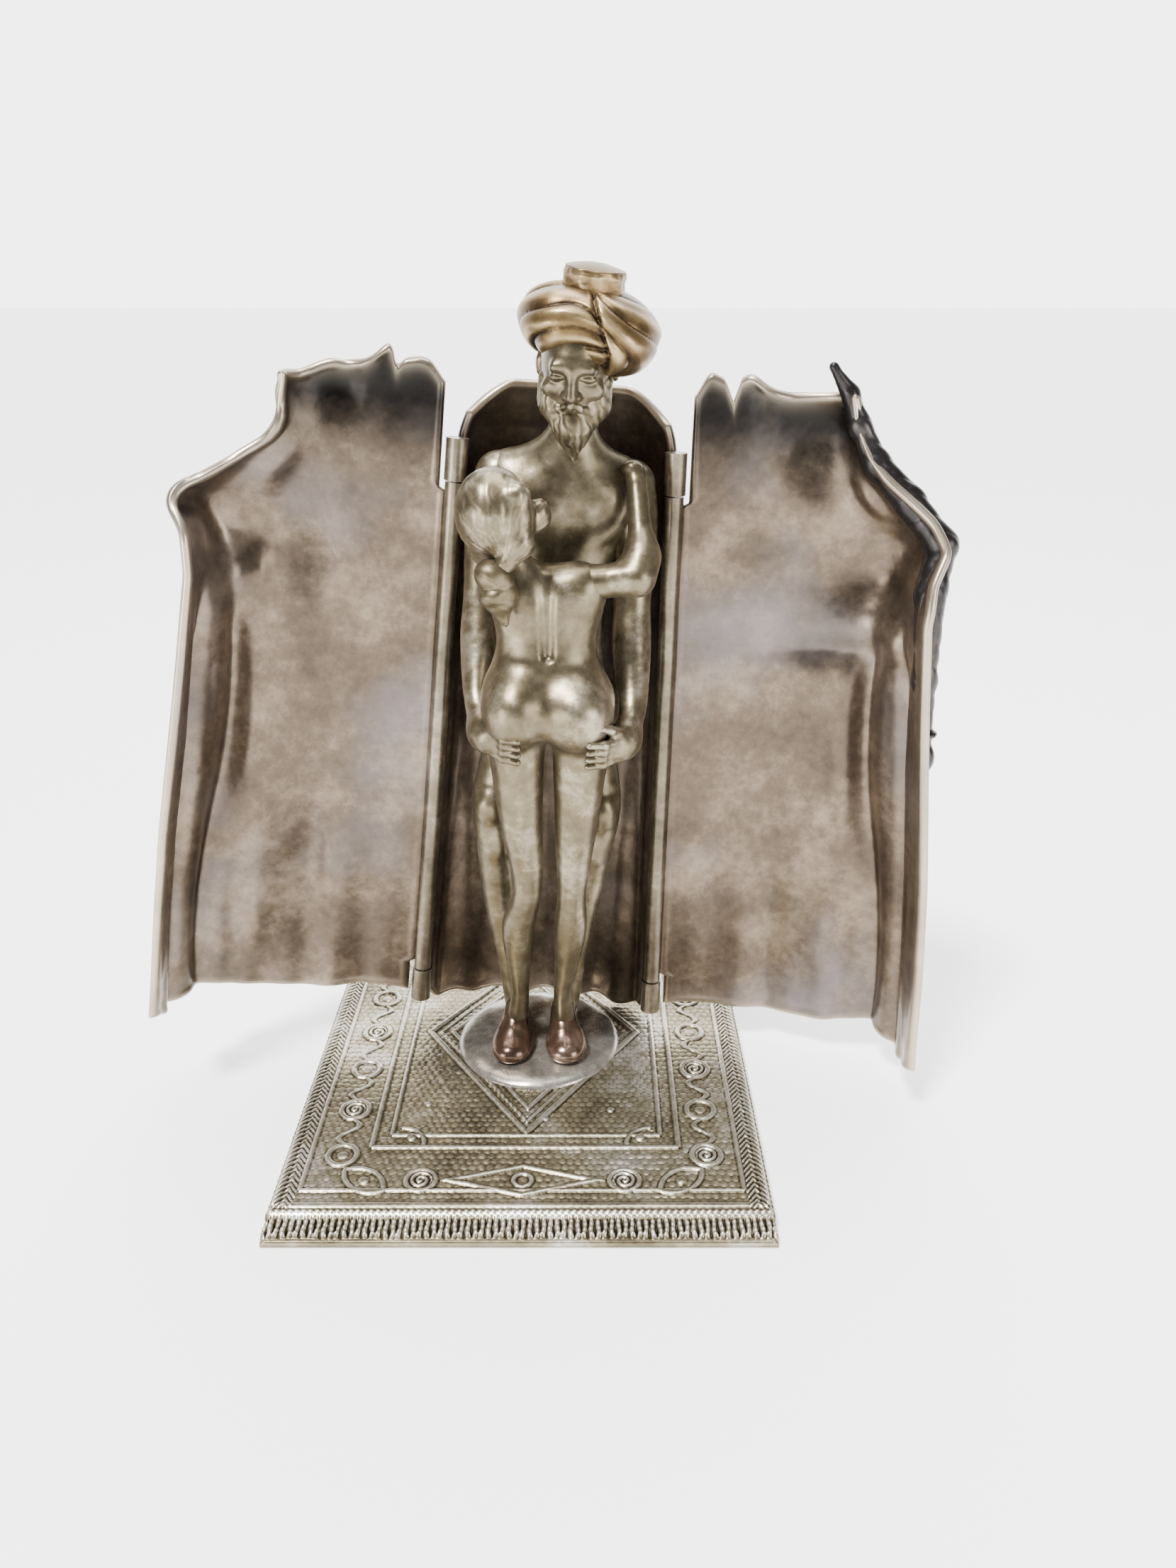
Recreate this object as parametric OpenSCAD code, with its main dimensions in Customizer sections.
// Novelty bronze: a turbaned man in a long cloak stands on an oriental rug.
// The cloak is a fixed back shell and two front flaps on pinned hinges; inside, a woman holds him.
// Frame: origin at the centre of the rug's underside, +Z up, -Y to the front, +X to the viewer's right.

/* [Rug] */
// width of the rug, side to side
rug_w = 104; // [80:1:140]
// length of the rug, front to back
rug_l = 135; // [100:1:180]
// thickness of the cast rug
rug_t = 3.5; // [2.6:0.1:6]
// height of the raised ornament on the rug
relief_h = 0.5; // [0.3:0.1:1]

/* [Figure] */
// lean of the whole figure towards +X over the rug, degrees
figure_lean = 3.8; // [0:0.2:6]
// height of the figure scale, from the rug's top to the top of the cap
figure_h = 178; // [140:1:220]
// height of the mound under the feet
mound_h = 3.2; // [2:0.1:6]

/* [Cloak] */
// wall thickness of the cloak castings
shell_t = 1.6; // [1.2:0.1:2.4]
// depth of the closed front at the hem, from the hinge line
hem_depth = 58; // [48:1:66]
// depth of the back shell behind the hinge line at the hem
back_depth = 12.5; // [10:0.5:18]
// half the distance between the hinge axes at the lower knuckles
hinge_low = 28.9; // [26:0.1:34]
// half the distance between the hinge axes at the upper knuckles
hinge_high = 22.8; // [21:0.1:27]
// angle the flaps stand open, degrees from closed
open_angle = 90; // [0:1:95]
// gap between the two flap edges when closed
seam_gap = 0.7; // [0.6:0.1:2]

/* [Hinges] */
// outside diameter of the flap's hinge barrel
barrel_d = 4.2; // [3.6:0.1:6]
// outside diameter of the knuckles on the back shell
knuckle_d = 4.8; // [4:0.1:6]
// diameter of the steel hinge pins
pin_d = 1.6; // [1.2:0.1:2.2]
// running clearance between pin and barrel bore, on radius
pin_clear = 0.05; // [0.02:0.01:0.1]
// length of each knuckle
knuckle_l = 8.6; // [6:0.1:12]
// gap between a knuckle and the barrel's end
end_gap = 0.35; // [0.3:0.05:0.8]

/* [Screws] */
// thread diameter of the base screws
base_screw_d = 3; // [2.5:0.1:4]
// thread diameter of the back screws
back_screw_d = 2.5; // [2:0.1:3]

/* [Hidden] */
// scale of heights and widths inside the cloak
k = figure_h / 178;
// floor of the figure group: the rug's top
z0 = rug_t;
// hinge line, before the lean
hinge_y = 3;
z_low = z0 + 11.5 * k;
z_high = z0 + 139.5 * k;
axis_v = [hinge_high - hinge_low, 0, z_high - z_low];
axis_len = norm(axis_v);
axis_u = axis_v / axis_len;
// cloak heights above the rug
z_hem = z0 + 8.6 * k;
z_top = z0 + 160.5 * k;
z_back_hem = z0 + 2.8 * k;
z_back_top = z0 + 155.5 * k;
// barrel range along the axis
bar_a = knuckle_l / 2 + end_gap;
bar_b = axis_len - knuckle_l / 2 - end_gap;
bore_d = pin_d + 2 * pin_clear;
// seam stands a little left of the middle, because the right flap's lip is the wider one
seam_x = -2.2;
squircle_n = 3.1;
flap_cols = 26;
flap_rows = 34;
back_cols = 30;
back_rows = 22;
mound_top = z0 + mound_h;
// heights of the two back screws, and the y where their tips end inside the man's trunk
screw_z = [98, 126];
screw_y = 4;

// ---- shape functions ----
// hinge half distance at height z, along the straight tilted hinge line
function hinge_x(z) = hinge_low + (hinge_high - hinge_low) * (z - z_low) / (z_high - z_low);
// height above the rug in the design's 178 mm scale
function hh(z) = (z - z0) / k;
function smooth(t) = let (c = min(1, max(0, t))) c * c * (3 - 2 * c);
// piecewise linear look-up of [key, value] pairs
function at(tab, v) = lookup(v, tab);
// forward depth of the closed front: flared hem, narrow waist, forearms held out, shoulder
depth_tab = [[3, 1.015], [15, 1], [36, 0.98], [56, 0.955], [75, 0.92], [96, 0.88], [113, 0.85],
  [121, 0.86], [127, 0.905], [132, 0.86], [136, 0.8], [140, 0.735], [144, 0.69],
  [151, 0.665], [157, 0.655], [161, 0.6]];
function depth(z) = hem_depth * at(depth_tab, hh(z));
// shoulder doming of the flap's top, drawn in towards the head
function dome(z) = 1 - 0.2 * pow(max(0, hh(z) - 143) / 17, 2);
// vertical folds: shallow waves that grow towards the hem
function fold(p, z) = 0.9 * (1 - 0.75 * smooth(hh(z) / 120)) * sin(p * 11) * smooth((p - 12) / 14)
  * smooth((88 - p) / 14);
// slots beside the barrel's ends, where the shell stands off and the pins show
notch = (z_top - z_hem) / flap_rows + 0.5;
// start of the flap's shell beside the hinge: against the barrel, or clear of the knuckles
function edge_start(z) = let (h = (z - z_low) / (z_high - z_low) * axis_len)
  (h > bar_a + notch && h < bar_b - notch) ? barrel_d / 2 - 0.7 : knuckle_d / 2 + 0.75;
// last angle of the lip: past the middle low down, drawn back at the neck
function lip_end(side, z) = let (w = hinge_x(z), s = seam_x * side + seam_gap / 2,
  full = acos(max(-0.3, min(0.3, s / w)))) full - (full - 53) * smooth((hh(z) - 119) / 23);
// one point of the closed front: side, angle p round the hinge's plane, height, offset outwards
function sq(p) = pow(pow(abs(cos(p)), squircle_n) + pow(abs(sin(p)), squircle_n), -1 / squircle_n);
function front_pt(side, p, z, off) =
  let (w = hinge_x(z), d = depth(z), r = sq(p),
    cx = (w * (1 + (dome(z) - 1) * smooth((p - 8) / 50)) + off + fold(p, z)) * cos(p) * r,
    cy = (d + off + fold(p, z)) * sin(p) * r)
  [side * cx, hinge_y - cy, z];
function flap_bottom(p) = z_hem + 0.9 * sin(p * 9) + 1.2 * smooth((p - 70) / 20);
function flap_top(side, p) = z_top - 5.5 * (1 - smooth(p / 16)) - 2.5 * smooth((p - 34) / 20)
  + (side > 0 ? 3.2 * pow(max(0, 1 - abs(p - 33) / 7), 2) : 0);
// heights of the rows: evenly spread, with the notch rows placed on the knuckle limits
function flap_pt(side, i, j, off) =
  let (t = j / flap_rows, u = i / flap_cols,
    pm = 4 + u * 84, zz = flap_bottom(pm) + t * (flap_top(side, pm) - flap_bottom(pm)),
    p0 = atan(edge_start(zz) / depth(zz)), p1 = lip_end(side, zz))
  front_pt(side, p0 + u * (p1 - p0), zz, off);
back_tab = [[0, 1], [55, 1.14], [105, 1.3], [134, 1.26], [146, 1.1], [157, 0.8]];
function back_d(z) = back_depth * at(back_tab, hh(z));
function back_dome(z) = 1 - 0.24 * pow(max(0, hh(z) - 141) / 15, 2);
function back_start(z) = barrel_d / 2 + 0.95;
// one point of the back shell: p from the left hinge (180) round the back to the right (0)
function back_pt(i, j, off) =
  let (u = i / back_cols, t = j / back_rows, side = u < 0.5 ? -1 : 1,
    q = 1 - abs(2 * u - 1), top = z_back_top - 6.5 * (1 - smooth(q * 2.2)),
    bot = z_back_hem + 3.2 * (1 - smooth(q * 3)) + 0.8 * sin(u * 2160),
    z = bot + t * (top - bot), w = hinge_x(z) * back_dome(z), d = back_d(z),
    p0 = asin(min(0.9, back_start(z) / d)), p = p0 + q * (90 - p0),
    r = pow(pow(cos(p), 2.4) + pow(sin(p), 2.4), -1 / 2.4),
    f = 0.5 * sin(p * 13) * smooth(q * 4) * smooth((118 - hh(z)) / 60))
  [side * (w + off + f) * cos(p) * r, hinge_y + (d + off + f) * sin(p) * r, z];
// closed thin shell from a point function's two faces
module shell(outer, inner, nc, nr) {
  pts = concat(outer, inner);
  n = (nc + 1) * (nr + 1);
  function id(i, j) = j * (nc + 1) + i;
  faces = concat(
    [for (j = [0 : nr - 1]) for (i = [0 : nc - 1]) [id(i, j), id(i + 1, j), id(i + 1, j + 1)]],
    [for (j = [0 : nr - 1]) for (i = [0 : nc - 1]) [id(i, j), id(i + 1, j + 1), id(i, j + 1)]],
    [for (j = [0 : nr - 1]) for (i = [0 : nc - 1]) [n + id(i, j), n + id(i + 1, j + 1), n + id(i + 1, j)]],
    [for (j = [0 : nr - 1]) for (i = [0 : nc - 1]) [n + id(i, j), n + id(i, j + 1), n + id(i + 1, j + 1)]],
    [for (i = [0 : nc - 1]) [id(i, 0), n + id(i, 0), n + id(i + 1, 0)]],
    [for (i = [0 : nc - 1]) [id(i, 0), n + id(i + 1, 0), id(i + 1, 0)]],
    [for (i = [0 : nc - 1]) [id(i, nr), n + id(i + 1, nr), n + id(i, nr)]],
    [for (i = [0 : nc - 1]) [id(i, nr), id(i + 1, nr), n + id(i + 1, nr)]],
    [for (j = [0 : nr - 1]) [id(0, j), id(0, j + 1), n + id(0, j + 1)]],
    [for (j = [0 : nr - 1]) [id(0, j), n + id(0, j + 1), n + id(0, j)]],
    [for (j = [0 : nr - 1]) [id(nc, j), n + id(nc, j + 1), id(nc, j + 1)]],
    [for (j = [0 : nr - 1]) [id(nc, j), n + id(nc, j), n + id(nc, j + 1)]]);
  polyhedron(points = pts, faces = faces, convexity = 6);
}

// ---- frames ----
module leaned() {
  translate([0, 0, z0]) rotate([0, figure_lean, 0]) translate([0, 0, -z0]) children();
}
// moves a closed flap out to its open rest place, about its own tilted hinge axis
module opened(side) {
  v = [side * axis_u[0], 0, axis_u[2]];
  p = [side * hinge_low, hinge_y, z_low];
  translate(p) rotate(a = side * open_angle, v = v) translate(-p) children();
}
// puts children on a hinge axis: local +Z runs up the axis from the lower knuckle's middle
module on_axis(side) {
  translate([side * hinge_low, hinge_y, z_low])
    rotate([0, side * atan2(axis_u[0], axis_u[2]), 0]) children();
}
module ball(p, r) {
  translate(p) sphere(r, $fn = 22);
}
module egg(p, s) {
  translate(p) scale(s) sphere(1, $fn = 24);
}
// point in the figure's 178 mm scale
function fp(x, y, z) = [x, y, z0 + z * k];
module limb(a, ra, b, rb) {
  hull() {
    ball(a, ra);
    ball(b, rb);
  }
}

// ---- base ----
module rug_base() {
  color("#7d7568") difference() {
    union() {
      translate([-rug_w / 2, -rug_l / 2, 0]) cube([rug_w, rug_l, rug_t]);
      for (s = [-1, 1]) {
        translate([s * (rug_w / 2 - 2) - 0.6, -rug_l / 2 + 6, rug_t - 0.2])
          cube([1.2, rug_l - 12, relief_h + 0.2]);
        translate([s * (rug_w / 2 - 9) - 0.6, -rug_l / 2 + 18, rug_t - 0.2])
          cube([1.2, rug_l - 36, relief_h + 0.2]);
        translate([-rug_w / 2 + 1.4, s * (rug_l / 2 - 6) - 0.6, rug_t - 0.2])
          cube([rug_w - 2.8, 1.2, relief_h + 0.2]);
        translate([-rug_w / 2 + 8.4, s * (rug_l / 2 - 18) - 0.6, rug_t - 0.2])
          cube([rug_w - 16.8, 1.2, relief_h + 0.2]);
      }
      translate([0, 0, rug_t - 0.2]) linear_extrude(relief_h + 0.2) difference() {
        polygon([[-rug_w / 4, 0], [0, -rug_l * 0.28], [rug_w / 4, 0], [0, rug_l * 0.28]]);
        polygon([[-rug_w / 4 + 2.2, 0], [0, -rug_l * 0.28 + 2.8], [rug_w / 4 - 2.2, 0],
          [0, rug_l * 0.28 - 2.8]]);
      }
    }
    translate([1.5, -3, rug_t]) cylinder(r = 20.05, h = relief_h + 1, $fn = 72);
    for (s = [-1, 1]) translate([s * 9, 4, 0]) {
      translate([0, 0, -0.5]) cylinder(d = base_screw_d + 0.2, h = rug_t + 2, $fn = 48);
      translate([0, 0, -0.01]) cylinder(d1 = base_screw_d * 1.9, d2 = base_screw_d + 0.2,
        h = base_screw_d * 0.45, $fn = 48);
    }
  }
}
module foot_mound() {
  color("#8f8a7c") difference() {
    translate([1.5, -3, z0]) rotate_extrude($fn = 72) polygon([[0, 0], [20, 0], [19.4, mound_h * 0.3],
      [17.6, mound_h * 0.65], [15, mound_h * 0.88], [12, mound_h], [0, mound_h]]);
    for (s = [-1, 1]) translate([s * 9, 4, z0 - 0.5]) cylinder(d = base_screw_d, h = mound_h,
      $fn = 48);
  }
}
module base_screws() {
  color("#8a8a8a") for (s = [-1, 1]) translate([s * 9, 4, 0]) difference() {
    union() {
      cylinder(d1 = base_screw_d * 1.8, d2 = base_screw_d, h = base_screw_d * 0.42, $fn = 48);
      cylinder(d = base_screw_d, h = z0 + mound_h - 0.7, $fn = 48);
    }
    translate([-base_screw_d, -0.3, -0.5]) cube([base_screw_d * 2, 0.6, 1]);
  }
}
module slippers() {
  color("#3a2c24") for (s = [-1, 1]) translate([1.9 + s * 6.6, 0, mound_top]) difference() {
    hull() {
      egg([0, -11.5, 1.6], [5, 5, 3.2]);
      egg([-s * 0.6, -5.5, 4.4], [3.6, 4.6, 5.6]);
      egg([-s * 0.6, 1, 1.4], [3.4, 3.4, 3.6]);
    }
    translate([-8, -20, -8]) cube([16, 34, 8]);
  }
}

// ---- the man ----
module man_body() {
  color("#6f6446") leaned() difference() {
    union() {
      hull() {
        ball(fp(0, 3, 128), 8.6);
        ball(fp(0, 3, 92), 8);
        ball(fp(-11.5, 2, 137), 5.2);
        ball(fp(11.5, 2, 137), 5.2);
      }
      limb(fp(0.6, 1, 139), 5.6, fp(1.2, -2, 147), 5);
      for (s = [-1, 1]) {
        limb(fp(s * 6, 3, 88), 7.4, fp(s * 12, -2.5, 62), 4.8);
        limb(fp(s * 12, -2.5, 62), 4.8, fp(1.6 + s * 6.6, 0, 12), 3);
      }
    }
    for (z = screw_z) translate(fp(0, screw_y, z)) rotate([-90, 0, 0])
      cylinder(d = back_screw_d, h = 14, $fn = 40);
  }
}
module man_arm(s) {
  union() {
    limb(fp(s * 15.2, 1.5, 136), 4.8, fp(s * 16.6 - 0.4, -1, 115), 3.8);
    limb(fp(s * 16.6 - 0.4, -1, 115), 3.8, fp(s * 17 + 1, -13, 94), 3.1);
    hull() {
      ball(fp(s * 17 + 1, -13, 94), 3.1);
      egg(fp(s * 15.4 + 1, -20, 88.5), [3.2, 4.2, 2.6]);
    }
    hull() {
      egg(fp(s * 15.4 + 1, -20, 88.5), [3.2, 4, 2.4]);
      egg(fp(s * 8.6 + 1, -29, 86), [3.6, 2.2, 1.9]);
    }
  }
}
module man_left_arm() {
  color("#6f6446") leaned() man_arm(-1);
}
module man_right_arm() {
  color("#6f6446") leaned() man_arm(1);
}
module man_head() {
  color("#75684a") leaned() translate(fp(1.2, -4, 160)) rotate([24, 0, -6]) union() {
    scale([7.4, 9.2, 10]) sphere(1, $fn = 40);
    hull() {
      translate([0, -8.2, 1.6]) sphere(0.9, $fn = 16);
      translate([0, -10.2, -3.2]) sphere(1.25, $fn = 16);
    }
  }
}
module beard() {
  color("#5c5038") leaned() translate(fp(1.2, -4, 160)) rotate([24, 0, -6]) union() {
    hull() {
      egg([-3, -7, -6], [3.6, 2.6, 3]);
      egg([3, -7, -6], [3.6, 2.6, 3]);
      egg([-0.5, -9, -14], [2.2, 1.8, 2.4]);
    }
  }
}
module turban() {
  color("#8a6a3c") leaned() translate(fp(2.8, -2, 167)) rotate([8, 4, 0]) union() {
    rotate_extrude($fn = 72) translate([8.4, 0]) circle(r = 6.4, $fn = 40);
    translate([0, 0, -2]) cylinder(r = 9, h = 7.5, $fn = 60);
  }
}
module turban_cap() {
  color("#8a6a3c") leaned() translate(fp(2.8, -2, 167)) rotate([8, 4, 0])
    translate([0, 0, 5.5]) rotate_extrude($fn = 60) polygon([[0, 0], [6.4, 0], [5.9, 4.6],
      [5.2, 5.5], [0, 6.2]]);
}

// ---- the woman ----
module woman_body() {
  color("#8a8168") leaned() union() {
    hull() {
      egg(fp(-9.2, -16, 117), [4, 4.2, 4.4]);
      egg(fp(5.4, -16, 118.8), [3.9, 4.2, 4.4]);
      egg(fp(-1.9, -15.5, 106), [7.6, 5.2, 4.6]);
    }
    hull() {
      egg(fp(-1.9, -15.5, 107), [7.6, 5.2, 4]);
      egg(fp(-0.7, -17, 95), [13.6, 6.8, 6]);
    }
    limb(fp(-7, -16, 118), 3.6, fp(-11, -17.5, 126), 3.4);
    for (s = [-1, 1]) {
      hull() {
        egg(fp(-0.7 + s * 6.6, -22, 93), [7, 7.6, 7.6]);
        ball(fp(2 + s * 4.9, -15.5, 51), 3.4);
      }
      limb(fp(2 + s * 4.9, -15.5, 51), 3.4, fp(1.1 + s * 6, -14, 38), 3.9);
      limb(fp(1.1 + s * 6, -14, 38), 3.9, fp(1.4 + s * 5, -8.6, 13), 2.3);
    }
  }
}
module woman_head() {
  color("#8a8168") leaned() translate(fp(-13, -20.5, 133)) rotate([0, -8, 0])
    scale([7.8, 8.4, 8.9]) sphere(1, $fn = 40);
}
module hair_bun() {
  color("#5f5640") leaned() union() {
    egg(fp(-12.6, -25.6, 121.6), [4.4, 3.8, 4]);
    egg(fp(-10.4, -25.6, 117), [4.2, 3.6, 4]);
  }
}
module woman_left_arm() {
  color("#8a8168") leaned() union() {
    limb(fp(-10.5, -15.5, 117), 3.5, fp(-16, -8, 124), 2.8);
    limb(fp(-16, -8, 124), 2.8, fp(-11, 0, 140), 2.4);
  }
}
module woman_right_arm() {
  color("#8a8168") leaned() union() {
    limb(fp(6.2, -16, 119.2), 3.7, fp(16, -16.5, 121.4), 3.1);
    limb(fp(16, -16.5, 121.4), 3.1, fp(14, -4.5, 139.5), 2.3);
    limb(fp(14, -4.5, 139.5), 2.3, fp(12.4, 0.5, 142.5), 2.4);
  }
}

// ---- the cloak ----
module cloak_back() {
  color("#4d4638") leaned() difference() {
    shell([for (j = [0 : back_rows]) for (i = [0 : back_cols]) back_pt(i, j, shell_t / 2)],
      [for (j = [0 : back_rows]) for (i = [0 : back_cols]) back_pt(i, j, -shell_t / 2)],
      back_cols, back_rows);
    for (z = screw_z) translate(fp(0, screw_y, z)) rotate([-90, 0, 0])
      cylinder(d = back_screw_d + 0.1, h = 30, $fn = 40);
  }
}
// slotted round-head screw whose head bears on a small flat boss washer outside the shell
module back_screws() {
  color("#8a8a8a") leaned() for (z = screw_z) translate(fp(0, screw_y, z)) rotate([-90, 0, 0])
    difference() {
      union() {
        translate([0, 0, 0.5]) cylinder(d = back_screw_d, h = back_y(z) - screw_y, $fn = 40);
        translate([0, 0, back_y(z) - screw_y]) cylinder(d = back_screw_d * 1.9, h = 1.7, $fn = 40);
      }
      translate([-0.3, -4, back_y(z) - screw_y + 1]) cube([0.6, 8, 2]);
    }
}
// y of the plane under a back screw's head at a design height, just off the shell
function back_y(h) = hinge_y + back_d(z0 + h * k) + shell_t / 2 + 0.15;
module tube(l, d, b) {
  difference() {
    cylinder(d = d, h = l, $fn = 56);
    translate([0, 0, -1]) cylinder(d = b, h = l + 2, $fn = 40);
  }
}
// a knuckle and the leg that joins it to the back shell
module knuckle(side, a) {
  on_axis(side) translate([0, 0, a - knuckle_l / 2]) difference() {
    union() {
      cylinder(d = knuckle_d, h = knuckle_l, $fn = 56);
      translate([-side * 0.1 - 1.1, 0.4, 0.8]) cube([2.2, barrel_d / 2 + 2.6, knuckle_l - 1.6]);
    }
    translate([0, 0, -1]) cylinder(d = pin_d, h = knuckle_l + 2, $fn = 40);
  }
}
module knuckles_upper() {
  color("#9a8b60") leaned() for (s = [-1, 1]) knuckle(s, axis_len);
}
module knuckles_lower() {
  color("#9a8b60") leaned() for (s = [-1, 1]) knuckle(s, 0);
}
module hinge_pins() {
  color("#8f9096") leaned() for (s = [-1, 1]) on_axis(s) {
    translate([0, 0, -knuckle_l / 2]) cylinder(d = pin_d, h = knuckle_l + end_gap + 5.5, $fn = 40);
    translate([0, 0, bar_b - 5.5]) cylinder(d = pin_d, h = knuckle_l + end_gap + 5.5, $fn = 40);
  }
}
// hinge barrel brazed along the flap's edge, drilled at both ends for the pins
module barrel(side) {
  on_axis(side) difference() {
    translate([0, 0, bar_a]) cylinder(d = barrel_d, h = bar_b - bar_a, $fn = 56);
    translate([0, 0, bar_a - 1]) cylinder(d = bore_d, h = 7.5, $fn = 40);
    translate([0, 0, bar_b - 6.5]) cylinder(d = bore_d, h = 7.5, $fn = 40);
  }
}
module barrel_left() {
  color("#9a8b60") leaned() barrel(-1);
}
module barrel_right() {
  color("#9a8b60") leaned() barrel(1);
}
module flap_shell(side) {
  a = side > 0 ? shell_t / 2 : -shell_t / 2;
  opened(side) shell(
    [for (j = [0 : flap_rows]) for (i = [0 : flap_cols]) flap_pt(side, i, j, a)],
    [for (j = [0 : flap_rows]) for (i = [0 : flap_cols]) flap_pt(side, i, j, -a)],
    flap_cols, flap_rows);
}
module flap_left() {
  color("#4d4638") leaned() flap_shell(-1);
}
module flap_right() {
  color("#4d4638") leaned() flap_shell(1);
}
// forearm in its sleeve on the outside of the right flap: tassel end, elbow, cuff and raised finger
sleeve_path = [[80, 86, 2.2, 1.5], [80, 101, 2.8, 2.9], [78, 119, 3.4, 4], [68, 132, 3.5, 3.8],
  [57, 144, 3.2, 3.2], [48, 157, 2, 1.9]];
module sleeve() {
  color("#4a4036") leaned() opened(1) {
    for (i = [0 : 4]) let (a = sleeve_path[i], b = sleeve_path[i + 1])
      limb(front_pt(1, a[0], z0 + a[1] * k, a[2]), a[3], front_pt(1, b[0], z0 + b[1] * k, b[2]), b[3]);
    translate(front_pt(1, 80, z0 + 84 * k, 2.2)) scale([1, 1, 1.5]) sphere(2.2, $fn = 24);
  }
}

rug_base();
foot_mound();
slippers();
base_screws();
man_body();
man_left_arm();
man_right_arm();
man_head();
beard();
turban();
turban_cap();
woman_body();
woman_head();
hair_bun();
woman_left_arm();
woman_right_arm();
cloak_back();
back_screws();
knuckles_upper();
knuckles_lower();
hinge_pins();
flap_left();
barrel_left();
flap_right();
barrel_right();
sleeve();
